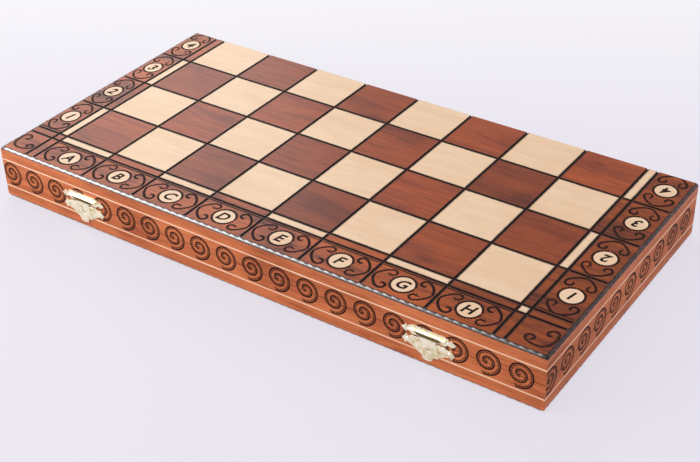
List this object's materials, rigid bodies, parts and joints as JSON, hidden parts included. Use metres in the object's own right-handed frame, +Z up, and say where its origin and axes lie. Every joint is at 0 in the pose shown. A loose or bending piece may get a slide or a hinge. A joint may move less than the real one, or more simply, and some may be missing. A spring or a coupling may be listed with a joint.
{
  "type": "folding chess set",
  "caption": "Folding wooden chess set: two hinged half cases with the board on their outside, shut by two brass hasps, with the men lying in slots inside.",
  "frame": {"origin": "middle of the underside of the closed case", "axes": "+X along the files from A to H, +Y towards the hinges, +Z up through both half cases"},
  "size_m": [0.52, 0.2652, 0.049],
  "materials": {
    "stained_birch": "lacquered",
    "rail_wood": "lacquered",
    "pale_inlay": "lacquered",
    "felt": "matte",
    "insert_wood": "satin",
    "light_men": "lacquered",
    "dark_men": "lacquered",
    "brass": "polished"
  },
  "bodies": {
    "lower_box": {"lower_board_panel": "stained_birch", "lower_front_rail": "rail_wood", "lower_rear_rail": "rail_wood", "lower_left_rail": "rail_wood", "lower_right_rail": "rail_wood", "lower_stringing": "pale_inlay", "lower_hinge_leaf_left": "brass", "lower_hinge_leaf_right": "brass", "lower_hinge_screws": "brass", "hinge_pins": "brass", "catch_plate_left": "brass", "catch_plate_right": "brass", "catch_plate_nails": "brass", "insert_floor": "felt", "insert_bars": "insert_wood", "insert_long_ribs": "insert_wood", "insert_short_ribs": "insert_wood", "light_king": "light_men", "light_queen": "light_men", "light_bishops": "light_men", "light_knights": "light_men", "light_rooks": "light_men", "light_pawns": "light_men", "dark_king": "dark_men", "dark_queen": "dark_men", "dark_bishops": "dark_men", "dark_knights": "dark_men", "dark_rooks": "dark_men", "dark_pawns": "dark_men"},
    "upper_box": {"upper_board_panel": "stained_birch", "upper_front_rail": "rail_wood", "upper_rear_rail": "rail_wood", "upper_left_rail": "rail_wood", "upper_right_rail": "rail_wood", "upper_stringing": "pale_inlay", "upper_hinge_leaf_left": "brass", "upper_hinge_leaf_right": "brass", "upper_hinge_screws": "brass", "clasp_plate_left": "brass", "clasp_plate_right": "brass", "hasp_pin_left": "brass", "hasp_pin_right": "brass", "clasp_plate_nails": "brass", "lid_lining": "felt"},
    "hasp_left": {"hasp_left": "brass"},
    "hasp_right": {"hasp_right": "brass"}
  },
  "joints": [
    {"name": "fold", "type": "hinge", "parent": "lower_box", "child": "upper_box", "pos_m": [0, 0.13015, 0.0245], "axis": [-1, 0, 0], "range_deg": [0, 180]},
    {"name": "hasp_left_swing", "type": "hinge", "parent": "upper_box", "child": "hasp_left", "pos_m": [-0.167, -0.1314, 0.029], "axis": [-1, 0, 0], "range_deg": [0, 170]},
    {"name": "hasp_right_swing", "type": "hinge", "parent": "upper_box", "child": "hasp_right", "pos_m": [0.167, -0.1314, 0.029], "axis": [-1, 0, 0], "range_deg": [0, 170]}
  ]
}
